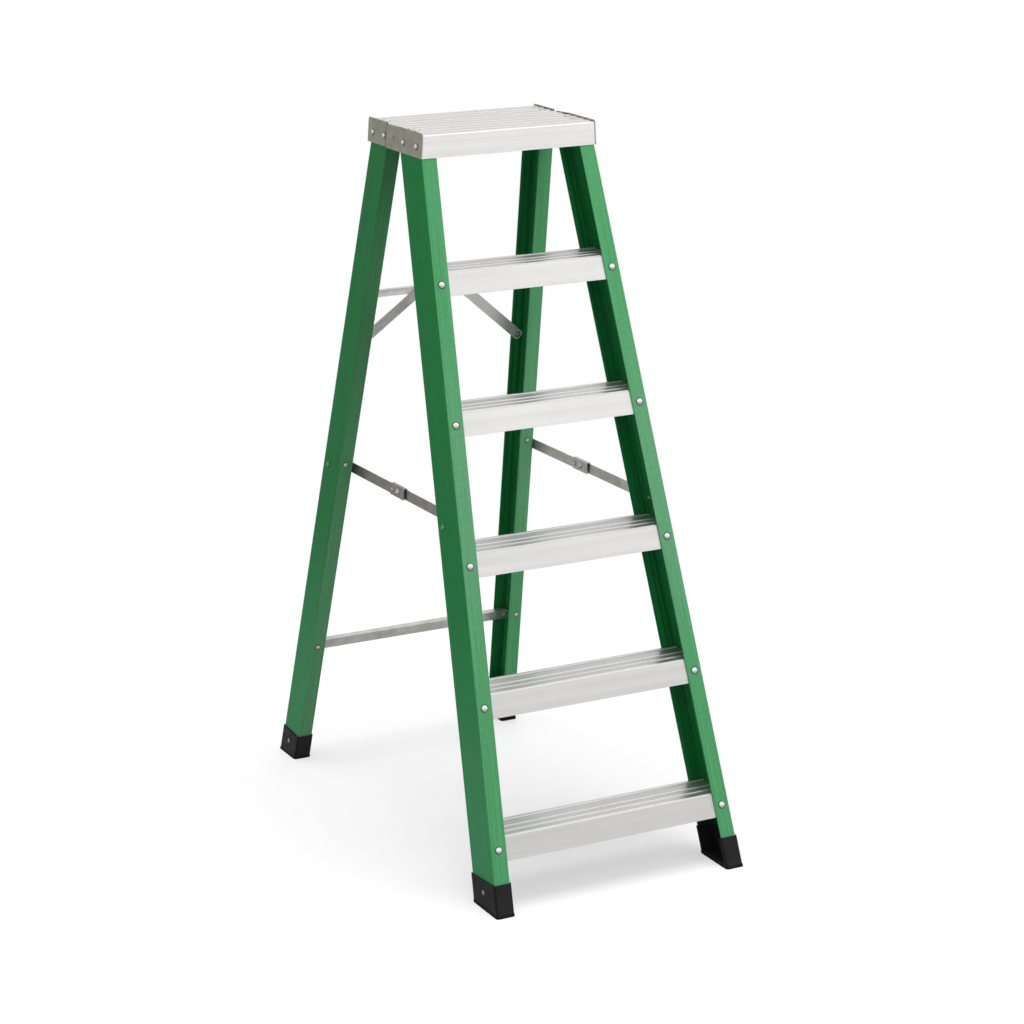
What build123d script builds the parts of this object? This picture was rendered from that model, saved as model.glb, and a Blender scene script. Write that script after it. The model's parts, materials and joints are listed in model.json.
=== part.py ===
from build123d import *
import os
from math import cos, radians, tan

# Folding stepladder: green fibreglass channel rails, aluminium treads, a ribbed aluminium top platform,
# two-bar spreaders and rubber boots.
# Millimetres. +X is to the climber's right, the climbing side faces -Y, +Z is up.
# The origin is on the floor, under the middle of the ladder's box.

# Stance
deck_height = 1692.5
first_tread_height = 168.5
tread_count = 5
front_lean = 19.0
rear_lean = 12.9
splay_angle = 3.43
rail_stagger = 157.0
front_half_width = 223.6

# Fibreglass rails, open channels with the web outside; sections are measured level
rail_wall = 4.0
rail_corner = 3.0
rail_root = 1.5
rail_tip = 1.0
front_rail_depth = 111.0
front_rail_flange = 39.0
rear_rail_depth = 87.5
rear_rail_flange = 37.0

# Treads
tread_wall = 2.5
tread_skirt = 53.0
tread_back_skirt = 36.0
tread_lip = 10.0
tread_nose = 2.0
tread_front_rib_count = 3
tread_rib_pitch = 25.0
tread_back_rib_inset = 13.3
tread_rib_width = 4.0
tread_rib_height = 1.5
tread_rivet_inset = 19.5
tread_rivet_drop = 25.5

# Top platform
deck_overhang = 22.5
deck_back_gap = 7.8
deck_skirt = 55.5
deck_wall = 3.0
deck_nose = 4.0
deck_rib_count = 9
deck_rib_margin = 21.25
deck_rib_width = 5.0
deck_rib_height = 1.5
deck_notch_gap = 0.8
deck_bracket_bay = 2
deck_stop_bay = 7
deck_rivet_count = 2
deck_rivet_inset = 18.0
deck_rivet_head = 1.2
bracket_wall = 3.0
bracket_leg = 30.0
bracket_drop = 40.0
bracket_end_gap = 0.6
stop_wall = 3.0
stop_overlap = 4.25
stop_width = 32.0
stop_inset = 1.5
stop_clearance = 0.3

# End plates and the fold's hinge
plate_wall = 3.0
plate_upstand = 2.5
plate_corner = 4.0
plate_rivet_drop = 31.0
front_plate_rivet_front = 15.5
front_plate_rivet_back = 28.0
rear_plate_rivet_front = 18.5
rear_plate_rivet_back = 10.5
hinge_set_back = 126.0
hinge_drop = 28.0
hinge_gap = 1.2
hinge_ear = 20.0
hinge_pin_radius = 5.0
hinge_head_radius = 6.5
hinge_head_height = 1.5
head_lift = 0.6
plate_split = 39.0
plate_shoulder = 66.0
plate_shoulder_drop = 1.5
rear_plate_shoulder = 43.0

# Rear frame
upper_bar_drop = 431.5
upper_bar_face = 21.0
upper_bar_shelf = 12.0
lower_bar_height = 314.5
lower_bar_face = 24.0
lower_bar_shelf = 24.0
bar_wall = 2.5
brace_width = 26.0
brace_wall = 3.0
brace_end = 12.0
brace_low_inset = 20.5
brace_seat = 0.5
brace_corner = 9.0
brace_low_drop = 161.0
brace_high_drop = 10.5
brace_high_half = 53.0
brace_cut = 5.0
clip_wall = 2.5
clip_flange_leg = 26.0
clip_web_leg = 46.0
clip_height = 36.0
clip_lower_rise = 6.0
clip_pivot_rise = 13.4

# Spreaders: both are the same hand, so each sits on the right-hand side of its rails' webs
spreader_rise = 40.0
spreader_fall = 7.0
spreader_front_inset = 30.0
spreader_rear_inset = 58.5
spreader_front_share = 0.525
link_width = 25.0
link_wall = 3.0
link_gap = 0.2
saddle_wall = 1.5
saddle_ahead = 34.0
saddle_behind = 38.0
saddle_skirt = 14.0
saddle_roof_gap = 0.3
saddle_rivet_back = 27.0
fold_clearance = 6.5
pivot_radius = 4.0
pivot_head_radius = 8.0
pivot_head_height = 3.5
spacer_radius = 8.0
open_pivot_gap = 0.3
leaning_pivot_gap = 2.0
bevel_washer = 1.6

# Boots
boot_wall = 3.5
boot_liner = 2.5
boot_liner_corner = 2.5
boot_height = 70.5
boot_tilt = 4.2
boot_sole = 10.0
boot_fit = 0.2
boot_welt = 1.2
boot_welt_height = 5.0
boot_corner = 6.0
boot_groove_count = 5
boot_groove_width = 3.0
boot_groove_depth = 2.0
boot_rivet_height = 38.0

# Rivets and fits
rivet_radius = 2.6
rivet_head_radius = 8.0
rivet_head_height = 3.0
small_head_radius = 6.0
small_head_height = 2.4
rivet_crown = 0.62
rivet_tail_radius = 4.4
rivet_tail_height = 1.6
seat = 0.1
rivet_fit = 0.1
pin_fit = 0.06

front_slope = tan(radians(front_lean))
rear_slope = tan(radians(rear_lean))
splay = tan(radians(splay_angle))
front_square = cos(radians(front_lean))
rear_square = cos(radians(rear_lean))
rear_half_width = front_half_width - hinge_gap - plate_wall
front_top_y = -(rail_stagger + (rear_slope - front_slope) * deck_height + rear_rail_depth) / 2
rear_top_y = front_top_y + rail_stagger
tread_pitch = (deck_height - first_tread_height) / tread_count
upper_bar_height = deck_height - upper_bar_drop
brace_low_height = upper_bar_height - brace_low_drop
front_up = (-splay, front_slope, 1)
rear_up = (-splay, -rear_slope, 1)
deck_front = front_top_y - deck_overhang
deck_back = rear_top_y + rear_slope * deck_skirt + rear_rail_depth + deck_back_gap + deck_wall
deck_depth = deck_back - deck_front
deck_middle = (deck_front + deck_back) / 2
deck_rib_pitch = (deck_depth - 2 * deck_rib_margin) / (deck_rib_count - 1)
deck_plate_top = deck_height - deck_rib_height
deck_under = deck_plate_top - deck_wall
hinge_y = front_top_y + hinge_set_back
hinge_z = deck_height - hinge_drop
plate_split_y = hinge_y + plate_split
plate_rivet_z = deck_height - plate_rivet_drop
OUTWARD = (Align.CENTER, Align.CENTER, Align.MIN)
INWARD = (Align.CENTER, Align.CENTER, Align.MAX)


def front_x(z):
    """Outside of the right front rail at a height."""
    return front_half_width + splay * (deck_height - z)


def front_y(z):
    """Front of the front rails at a height."""
    return front_top_y - front_slope * (deck_height - z)


def rear_x(z):
    """Outside of the right rear rail at a height."""
    return rear_half_width + splay * (deck_height - z)


def rear_y(z):
    """Front of the rear rails at a height."""
    return rear_top_y + rear_slope * (deck_height - z)


def rear_inside(z):
    """Inner face of the rear rails' back flanges at a height, where the cross bars seat."""
    return rear_y(z) + rear_rail_depth - rail_wall - seat


def tread_top(number):
    """Top of a tread's plate, counted from 1 at the bottom."""
    return first_tread_height + tread_pitch * (number - 1)


def web_plane(x, y, z, side=1):
    """Plane that follows a rail's web, facing outwards."""
    return Plane((side * x, y, z), x_dir=(0, side, 0), z_dir=(side, 0, splay))


def across(x, point):
    """Plane square to X at a side-view point, facing right."""
    return Plane((x, point.Y, point.Z), x_dir=(0, 1, 0), z_dir=(1, 0, 0))


def flange_plane(x, y, z, facing):
    """Plane on a rail's flange, facing along a leaning normal."""
    return Plane((x, y, z), x_dir=(1, 0, 0), z_dir=facing)


def opposite(plane):
    """The same plane on the ladder's other side."""
    return Plane(
        (-plane.origin.X, plane.origin.Y, plane.origin.Z),
        x_dir=(-plane.x_dir.X, plane.x_dir.Y, plane.x_dir.Z),
        z_dir=(-plane.z_dir.X, plane.z_dir.Y, plane.z_dir.Z),
    )


def drill(planes, radius, reach):
    """Drill on each plane's axis, reaching both ways from the plane."""
    with Locations(*planes):
        Hole(radius, reach)


def set_rivets(planes, grip, radius=small_head_radius, head=small_head_height):
    """Set a rivet on each plane: head outside, shank through the grip, upset tail behind."""
    for plane in planes:
        with Locations(plane):
            Cone(radius, radius * rivet_crown, head, align=OUTWARD)
        with Locations(plane.offset(-grip)):
            Cylinder(rivet_radius, grip, align=OUTWARD)
            Cylinder(rivet_tail_radius, rivet_tail_height, align=INWARD)


def set_pin(start, end, point, radius, head_radius, head_height, start_head=True, end_head=True):
    """Set a pin along X between two faces, with a domed head at either end."""
    with Locations(across(start, point)):
        Cylinder(radius, end - start, align=OUTWARD)
    if start_head:
        with Locations(Plane((start, point.Y, point.Z), x_dir=(0, 1, 0), z_dir=(-1, 0, 0))):
            Cone(head_radius, head_radius * rivet_crown, head_height, align=OUTWARD)
    if end_head:
        with Locations(across(end, point)):
            Cone(head_radius, head_radius * rivet_crown, head_height, align=OUTWARD)


def extrude_up(direction, height, mode=Mode.ADD):
    """Extrude a level section along a leaning rail until it has risen by a height."""
    extrude(amount=Vector(*direction).length * height, dir=direction, mode=mode)


def trim_to_webs(x_at, inset):
    """Cut both ends of a cross piece to the rails' webs, an inset inside their outer faces."""
    for side in (-1, 1):
        split(bisect_by=web_plane(x_at(0) - inset, 0, 0, side), keep=Keep.BOTTOM)


def save(piece, name):
    piece.label = name
    export_step(piece, f"parts/{name}.step")


def save_pair(piece, name):
    """Write a right-hand piece and its mirror image for the left."""
    with BuildPart() as mirrored:
        mirror(piece, about=Plane.YZ)
    save(piece, f"{name}_right")
    save(mirrored.part, f"{name}_left")


def save_group(piece, name):
    """Write right-hand fasteners and their left-hand copies as one group of separate solids."""
    with BuildPart() as group:
        add(piece)
        mirror(piece, about=Plane.YZ)
    save(group.part, name)


os.makedirs("parts", exist_ok=True)

# Spreader pivots, as points in the side view
front_pivot_z = tread_top((tread_count + 1) // 2) + spreader_rise
rear_pivot_z = front_pivot_z - spreader_fall
front_pivot = Vector(
    0, front_y(front_pivot_z) + front_rail_depth - spreader_front_inset, front_pivot_z
)
rear_pivot = Vector(0, rear_y(rear_pivot_z) + spreader_rear_inset, rear_pivot_z)
mid_pivot = front_pivot + (rear_pivot - front_pivot) * spreader_front_share
front_length = (mid_pivot - front_pivot).length
rear_length = (rear_pivot - mid_pivot).length

# Each spreader's layout plane: upright on the right, leaning with the webs on the left, about a line
# along which its rear eye stays in reach when the ladder folds
hinge_point = Vector(0, hinge_y, hinge_z)
folded_pivot = hinge_point + (rear_pivot - hinge_point).rotate(Axis.X, -front_lean - rear_lean)
left_lean = Axis(front_pivot, rear_pivot - folded_pivot)
left_across = Vector(1, 0, 0).rotate(left_lean, splay_angle)
left_face = rear_rail_flange + fold_clearance - rear_x(front_pivot_z)


def left_point(point):
    """Where a side-view point lies on the left spreader's left face."""
    return front_pivot + (point - front_pivot).rotate(left_lean, splay_angle) + (left_face, 0, 0)


def left_hole(x_at, point):
    """Plane in a left rail's web, square to the left spreader's pivot there."""
    place = left_point(point)
    reach = (place.X + x_at(point.Z)) / left_across.X
    return Plane(place - left_across * reach, x_dir=(0, 1, 0), z_dir=left_across)

# Rivet places on the right-hand rails, which the pieces on both sides of each joint share
tread_numbers = range(1, tread_count + 1)
tread_rivet_heights = [tread_top(number) - tread_rivet_drop for number in tread_numbers]
tread_front_rivets = [
    flange_plane(front_x(z) - tread_rivet_inset, front_y(z), z, (0, -1, front_slope))
    for z in tread_rivet_heights
]
tread_back_rivets = [
    flange_plane(
        front_x(z) - tread_rivet_inset, front_y(z) + front_rail_depth, z, (0, 1, -front_slope)
    )
    for z in tread_rivet_heights
]
front_plate_rivets = [
    web_plane(front_x(plate_rivet_z), front_y(plate_rivet_z) + reach, plate_rivet_z)
    for reach in (front_plate_rivet_front, front_rail_depth - front_plate_rivet_back)
]
rear_plate_rivets = [
    web_plane(rear_x(plate_rivet_z), rear_y(plate_rivet_z) + reach, plate_rivet_z)
    for reach in (rear_plate_rivet_front, rear_rail_depth - rear_plate_rivet_back)
]
front_boot_rivet = web_plane(
    front_x(boot_rivet_height),
    front_y(boot_rivet_height) + front_rail_depth / 2,
    boot_rivet_height,
)
rear_boot_rivet = web_plane(
    rear_x(boot_rivet_height),
    rear_y(boot_rivet_height) + rear_rail_depth / 2,
    boot_rivet_height,
)
clip_heights = (
    lower_bar_height + clip_lower_rise,
    rear_pivot_z + clip_pivot_rise,
)
clip_rivets = [
    flange_plane(rear_x(z) - rail_wall - clip_flange_leg / 2, rear_y(z), z, (0, -1, -rear_slope))
    for z in clip_heights
]
upper_rivet_z = upper_bar_height - upper_bar_face / 2
upper_bar_rivet = flange_plane(
    rear_x(upper_rivet_z) - rear_rail_flange / 2,
    rear_inside(upper_rivet_z) - bar_wall,
    upper_rivet_z,
    (0, -1, -rear_slope),
)
lower_rivet_z = lower_bar_height - lower_bar_face / 2
lower_bar_rivet = flange_plane(
    rear_x(lower_rivet_z) - rear_rail_flange / 2,
    rear_inside(lower_rivet_z) - lower_bar_shelf,
    lower_rivet_z,
    (0, -1, -rear_slope),
)

# A knee brace runs from the back flange's inner face up to the front of the upper bar
brace_high_z = upper_bar_height - brace_high_drop
brace_low = Vector(
    rear_x(brace_low_height) - brace_low_inset, rear_inside(brace_low_height), brace_low_height
)
brace_high = Vector(brace_high_half, rear_inside(brace_high_z) - bar_wall, brace_high_z)
brace_along = brace_high - brace_low
brace_facing = Vector(0, -rear_slope, 1).cross(brace_along).normalized()
brace_low_rivet = Plane(
    brace_low + brace_facing * (brace_seat + brace_wall), x_dir=brace_along, z_dir=brace_facing
)
brace_high_rivet = Plane(
    brace_high + brace_facing * (brace_seat + brace_wall), x_dir=brace_along, z_dir=brace_facing
)


# Rails: pultruded channels, cut level at both ends
def build_rail(x_at, y_at, up, depth, flange, top, rivets):
    low = boot_sole + seat
    with BuildPart() as rail:
        with BuildSketch(Plane((x_at(low), y_at(low), low))) as section:
            Rectangle(flange, depth, align=(Align.MAX, Align.MIN))
            with Locations((-rail_wall, rail_wall)):
                Rectangle(
                    flange,
                    depth - 2 * rail_wall,
                    align=(Align.MAX, Align.MIN),
                    mode=Mode.SUBTRACT,
                )
            fillet(section.vertices().group_by(Axis.X)[-2], rail_root)
            fillet(section.vertices().group_by(Axis.X)[-1], rail_corner)
            fillet(section.vertices().group_by(Axis.X)[0], rail_tip)
        extrude_up(up, top - low)
        drill(rivets, rivet_radius + rivet_fit, 3 * rail_wall)
    return rail.part


def save_rails(rail, name, x_at, pivot):
    """Write both rails of a frame, each drilled for its own spreader's pivot."""
    with BuildPart() as right:
        add(rail)
        drill([across(x_at(pivot.Z), pivot)], pivot_radius + rivet_fit, 3 * rail_wall)
    save(right.part, f"{name}_right")
    with BuildPart() as left:
        mirror(rail, about=Plane.YZ)
        drill([left_hole(x_at, pivot)], pivot_radius + rivet_fit, 3 * rail_wall)
    save(left.part, f"{name}_left")


front_rail = build_rail(
    front_x,
    front_y,
    front_up,
    front_rail_depth,
    front_rail_flange,
    deck_under - seat,
    tread_front_rivets + tread_back_rivets + front_plate_rivets + [front_boot_rivet],
)
save_rails(front_rail, "front_rail", front_x, front_pivot)

lower_bar_hole = lower_bar_rivet.offset(-lower_bar_shelf * rear_square)
rear_rail = build_rail(
    rear_x,
    rear_y,
    rear_up,
    rear_rail_depth,
    rear_rail_flange,
    deck_under - stop_wall - stop_clearance,
    rear_plate_rivets
    + clip_rivets
    + [rear_boot_rivet, upper_bar_rivet, lower_bar_hole, brace_low_rivet],
)
save_rails(rear_rail, "rear_rail", rear_x, rear_pivot)


# Treads: ribbed channels whose skirts lie flat inside the front rails' flanges
def skirt_y(z):
    """Front of a tread's front skirt at a height."""
    return front_y(z) + rail_wall + seat


def back_skirt_y(z):
    """Back of a tread's back skirt at a height."""
    return front_y(z) + front_rail_depth - rail_wall - seat


def build_tread(number):
    top = tread_top(number)
    under = top - tread_wall
    low = top - tread_skirt
    back_low = top - tread_back_skirt
    holes = [tread_front_rivets[number - 1], tread_back_rivets[number - 1]]
    with BuildPart() as tread:
        with BuildSketch(Plane.YZ) as section:
            with BuildLine():
                Polyline(
                    (skirt_y(low), low),
                    (skirt_y(top), top),
                    (back_skirt_y(top), top),
                    (back_skirt_y(back_low), back_low),
                    (back_skirt_y(back_low) - tread_wall, back_low),
                    (back_skirt_y(under) - tread_wall, under),
                    (skirt_y(under) + tread_wall, under),
                    (skirt_y(low + tread_wall) + tread_wall, low + tread_wall),
                    (skirt_y(low) + tread_lip, low + tread_wall),
                    (skirt_y(low) + tread_lip, low),
                    close=True,
                )
            make_face()
            fillet(section.vertices().group_by(Axis.Y)[-1], tread_nose)
            nose_rib = skirt_y(top) + tread_nose + tread_rib_width / 2
            ribs = [nose_rib + tread_rib_pitch * count for count in range(tread_front_rib_count)]
            ribs.append(back_skirt_y(top) - tread_back_rib_inset)
            with Locations(*[(rib, top) for rib in ribs]):
                Rectangle(tread_rib_width, tread_rib_height, align=(Align.CENTER, Align.MIN))
        extrude(amount=front_x(0), both=True)
        trim_to_webs(front_x, rail_wall + rail_root + seat)
        drill(holes, rivet_radius + rivet_fit, 3 * rail_wall)
        drill([opposite(hole) for hole in holes], rivet_radius + rivet_fit, 3 * rail_wall)
    return tread.part


for number in tread_numbers:
    save(build_tread(number), f"tread_{number}")

with BuildPart() as tread_rivets:
    tread_grip = (rail_wall + seat + tread_wall) * front_square
    set_rivets(tread_front_rivets, tread_grip, rivet_head_radius, rivet_head_height)
save_group(tread_rivets.part, "tread_front_rivets")

with BuildPart() as tread_rivets:
    set_rivets(tread_back_rivets, tread_grip, rivet_head_radius, rivet_head_height)
save_group(tread_rivets.part, "tread_back_rivets")

# Top platform: a ribbed plate with skirts, notched at the back for the rear hinge plates
def bay_rivets(first_bay):
    """Rivet places in the bays between the platform's ribs, counted from 1 at the front."""
    first_y = deck_front + deck_rib_margin + deck_rib_pitch * (first_bay - 0.5)
    return [
        Plane((front_half_width - deck_rivet_inset, first_y + deck_rib_pitch * count, deck_plate_top))
        for count in range(deck_rivet_count)
    ]


bracket_rivets = bay_rivets(deck_bracket_bay)
stop_rivets = bay_rivets(deck_stop_bay)
deck_rivets = bracket_rivets + stop_rivets
with BuildPart() as deck:
    with BuildSketch(Plane.YZ) as section:
        with Locations((deck_front, deck_plate_top)):
            Rectangle(deck_depth, deck_skirt - deck_rib_height, align=(Align.MIN, Align.MAX))
        fillet(section.vertices().group_by(Axis.Y)[-1], deck_nose)
        with Locations((deck_front + deck_wall, deck_under)):
            Rectangle(
                deck_depth - 2 * deck_wall,
                deck_skirt,
                align=(Align.MIN, Align.MAX),
                mode=Mode.SUBTRACT,
            )
        with Locations((deck_middle, deck_plate_top)):
            with GridLocations(deck_rib_pitch, 1, deck_rib_count, 1):
                Rectangle(deck_rib_width, deck_rib_height, align=(Align.CENTER, Align.MIN))
    extrude(amount=front_x(0), both=True)
    trim_to_webs(front_x, seat)
    notch_start = hinge_y - hinge_ear - stop_wall
    for side in (Align.MIN, Align.MAX):
        edge = rear_half_width - deck_notch_gap
        with Locations((edge if side == Align.MIN else -edge, notch_start, deck_height)):
            Box(
                deck_depth,
                deck_depth,
                3 * deck_skirt,
                align=(side, Align.MIN, Align.CENTER),
                mode=Mode.SUBTRACT,
            )
    drill(deck_rivets, rivet_radius + rivet_fit, 2 * deck_wall)
    drill([opposite(place) for place in deck_rivets], rivet_radius + rivet_fit, 2 * deck_wall)
save(deck.part, "platform")

# Platform brackets: angles on the inner face of the front rails' webs
bracket_top = deck_under - seat
bracket_low = bracket_top - bracket_drop


def bracket_x(z):
    """Outside of the right platform bracket at a height."""
    return front_x(z) - rail_wall - seat


with BuildPart() as bracket:
    bracket_clear = rail_wall + rail_root + bracket_end_gap
    bracket_front = front_y(bracket_low) + bracket_clear
    bracket_back = front_y(bracket_top) + front_rail_depth - bracket_clear
    with BuildSketch(Plane((0, bracket_back, 0), x_dir=(1, 0, 0), z_dir=(0, -1, 0))):
        with BuildLine():
            Polyline(
                (bracket_x(bracket_top), bracket_top),
                (bracket_x(bracket_low), bracket_low),
                (bracket_x(bracket_low) - bracket_wall, bracket_low),
                (bracket_x(bracket_top - bracket_wall) - bracket_wall, bracket_top - bracket_wall),
                (bracket_x(bracket_top) - bracket_leg, bracket_top - bracket_wall),
                (bracket_x(bracket_top) - bracket_leg, bracket_top),
                close=True,
            )
        make_face()
    extrude(amount=bracket_back - bracket_front)
    front_edge = Plane((0, bracket_front, bracket_low), z_dir=(0, -1, front_slope))
    back_edge = Plane((0, bracket_back, bracket_top), z_dir=(0, 1, -front_slope))
    split(bisect_by=front_edge, keep=Keep.BOTTOM)
    split(bisect_by=back_edge, keep=Keep.BOTTOM)
    drill(bracket_rivets, rivet_radius + rivet_fit, 4 * deck_wall)
    drill(front_plate_rivets, rivet_radius + rivet_fit, 4 * rail_wall)
save_pair(bracket.part, "platform_bracket")

# Platform stops: flat pads that rest on the rear rails' tops when the ladder stands open
with BuildPart() as stop_pad:
    stop_middle = rear_y(deck_under) + rear_rail_depth / 2
    stop_length = rear_rail_depth + 2 * stop_overlap
    with Locations((rear_half_width - stop_inset, stop_middle, deck_under - seat)):
        Box(stop_width, stop_length, stop_wall - seat, align=(Align.MAX, Align.CENTER, Align.MAX))
    drill(stop_rivets, rivet_radius + rivet_fit, 4 * deck_wall)
save_pair(stop_pad.part, "platform_stop")

with BuildPart() as platform_rivets:
    set_rivets(deck_rivets, deck_wall + seat + bracket_wall, head=deck_rivet_head)
save_group(platform_rivets.part, "platform_rivets")

# Front end plates: flush with the platform's ends, riveted through the front rails' webs
front_plate_plane = web_plane(front_half_width, 0, deck_height).offset(seat)
with BuildPart() as front_plate:
    with BuildSketch(front_plate_plane) as outline:
        with BuildLine():
            Polyline(
                (deck_front, -deck_skirt),
                (plate_split_y, -deck_skirt),
                (plate_split_y, -plate_shoulder_drop),
                (plate_split_y - plate_shoulder, plate_upstand),
                (deck_front + plate_corner, plate_upstand),
                (deck_front, plate_upstand - plate_corner),
                close=True,
            )
        make_face()
        fillet(outline.vertices().sort_by(Axis.X)[-3:], plate_corner)
    extrude(amount=plate_wall)
    drill(front_plate_rivets, rivet_radius + rivet_fit, 3 * plate_wall)
    drill([across(front_x(hinge_z), hinge_point)], hinge_pin_radius + pin_fit, 3 * plate_wall)
save_pair(front_plate.part, "front_end_plate")

with BuildPart() as plate_rivets:
    front_grip = plate_wall + rail_wall + bracket_wall + 2 * seat
    places = [place.offset(plate_wall + seat) for place in front_plate_rivets]
    set_rivets(places, front_grip, rivet_head_radius, rivet_head_height)
save_group(plate_rivets.part, "front_plate_rivets")

# Rear hinge plates: lapped inside the front plates, with a round ear on the hinge pin
rear_plate_plane = web_plane(rear_half_width, 0, deck_height).offset(seat)
with BuildPart() as rear_plate:
    with BuildSketch(rear_plate_plane):
        with BuildLine():
            Polyline(
                (hinge_y, -hinge_drop - hinge_ear),
                (hinge_y + hinge_ear, -deck_skirt),
                (deck_back, -deck_skirt),
                (deck_back, plate_upstand),
                (hinge_y + rear_plate_shoulder, plate_upstand),
                (plate_split_y, hinge_ear - hinge_drop),
                (hinge_y, hinge_ear - hinge_drop),
                close=True,
            )
        make_face()
        with Locations((hinge_y, -hinge_drop)):
            Circle(hinge_ear)
    extrude(amount=plate_wall)
    drill(rear_plate_rivets, rivet_radius + rivet_fit, 3 * plate_wall)
    drill([across(rear_x(hinge_z), hinge_point)], hinge_pin_radius + pin_fit, 3 * plate_wall)
save_pair(rear_plate.part, "rear_hinge_plate")

with BuildPart() as plate_rivets:
    rear_grip = plate_wall + rail_wall + seat
    places = [place.offset(plate_wall + seat) for place in rear_plate_rivets]
    set_rivets(places, rear_grip, rivet_head_radius, rivet_head_height)
save_group(plate_rivets.part, "rear_plate_rivets")

with BuildPart() as hinge_pin:
    set_pin(
        rear_x(hinge_z) - head_lift,
        front_x(hinge_z) + plate_wall + head_lift,
        hinge_point,
        hinge_pin_radius,
        hinge_head_radius,
        hinge_head_height,
    )
save_pair(hinge_pin.part, "hinge_pin")


# Rear cross bars: the upper is an angle, the lower an inverted channel; both lean with the rear rails
def build_bar(profile, rivet):
    with BuildPart() as bar:
        with BuildSketch(Plane.YZ):
            with BuildLine():
                Polyline(*profile, close=True)
            make_face()
        extrude(amount=rear_x(0), both=True)
        trim_to_webs(rear_x, rail_wall + rail_root + seat)
        drill([rivet, opposite(rivet)], rivet_radius + rivet_fit, 2 * lower_bar_shelf)
    return bar


upper_low = upper_bar_height - upper_bar_face
upper_under = upper_bar_height - bar_wall
upper_bar = build_bar(
    [
        (rear_inside(upper_low), upper_low),
        (rear_inside(upper_bar_height), upper_bar_height),
        (rear_inside(upper_bar_height) - upper_bar_shelf, upper_bar_height),
        (rear_inside(upper_under) - upper_bar_shelf, upper_under),
        (rear_inside(upper_under) - bar_wall, upper_under),
        (rear_inside(upper_low) - bar_wall, upper_low),
    ],
    upper_bar_rivet,
)
with BuildPart() as drilled_bar:
    add(upper_bar.part)
    brace_holes = [brace_high_rivet, opposite(brace_high_rivet)]
    drill(brace_holes, rivet_radius + rivet_fit, 3 * brace_wall)
save(drilled_bar.part, "upper_bar")

lower_low = lower_bar_height - lower_bar_face
lower_under = lower_bar_height - bar_wall
lower_bar = build_bar(
    [
        (rear_inside(lower_low), lower_low),
        (rear_inside(lower_bar_height), lower_bar_height),
        (rear_inside(lower_bar_height) - lower_bar_shelf, lower_bar_height),
        (rear_inside(lower_low) - lower_bar_shelf, lower_low),
        (rear_inside(lower_low) - lower_bar_shelf + bar_wall, lower_low),
        (rear_inside(lower_under) - lower_bar_shelf + bar_wall, lower_under),
        (rear_inside(lower_under) - bar_wall, lower_under),
        (rear_inside(lower_low) - bar_wall, lower_low),
    ],
    lower_bar_rivet,
)
save(lower_bar.part, "lower_bar")

with BuildPart() as bar_rivets:
    set_rivets([upper_bar_rivet], (bar_wall + seat + rail_wall) * rear_square)
    set_rivets([lower_bar_rivet], (lower_bar_shelf + seat + rail_wall) * rear_square)
save_group(bar_rivets.part, "bar_rivets")

# Knee braces
with BuildPart() as brace:
    brace_middle = (brace_low + brace_high) * 0.5 + brace_facing * brace_seat
    with BuildSketch(Plane(brace_middle, x_dir=brace_along, z_dir=brace_facing)):
        RectangleRounded(brace_along.length + 2 * brace_end, brace_width, brace_corner)
    extrude(amount=brace_wall)
    split(bisect_by=Plane.XY.offset(upper_bar_height - brace_cut), keep=Keep.BOTTOM)
    drill([brace_low_rivet, brace_high_rivet], rivet_radius + rivet_fit, 3 * brace_wall)
save_pair(brace.part, "knee_brace")

with BuildPart() as brace_rivets:
    set_rivets([brace_low_rivet], brace_wall + 2 * brace_seat + rail_wall * rear_square)
    set_rivets([brace_high_rivet], brace_wall + 2 * brace_seat + bar_wall * rear_square)
save_group(brace_rivets.part, "brace_rivets")

# Corner clips inside the rear rails, each under a rivet in the front flange
with BuildPart() as clips:
    for middle in clip_heights:
        low = middle - clip_height / 2
        corner = (rear_x(low) - rail_wall - seat, rear_y(low) + rail_wall + seat, low)
        with BuildSketch(Plane(corner)):
            Rectangle(clip_flange_leg, clip_wall, align=(Align.MAX, Align.MIN))
            Rectangle(clip_wall, clip_web_leg, align=(Align.MAX, Align.MIN))
            with Locations((0, 0)):
                Rectangle(2 * rail_root, 2 * rail_root, rotation=45, mode=Mode.SUBTRACT)
        extrude_up(rear_up, clip_height)
    drill(clip_rivets, rivet_radius + rivet_fit, 3 * rail_wall)
save_pair(clips.part, "rail_clips")

with BuildPart() as clip_fixings:
    set_rivets(clip_rivets, (rail_wall + seat + clip_wall) * rear_square)
save_group(clip_fixings.part, "clip_rivets")


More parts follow.
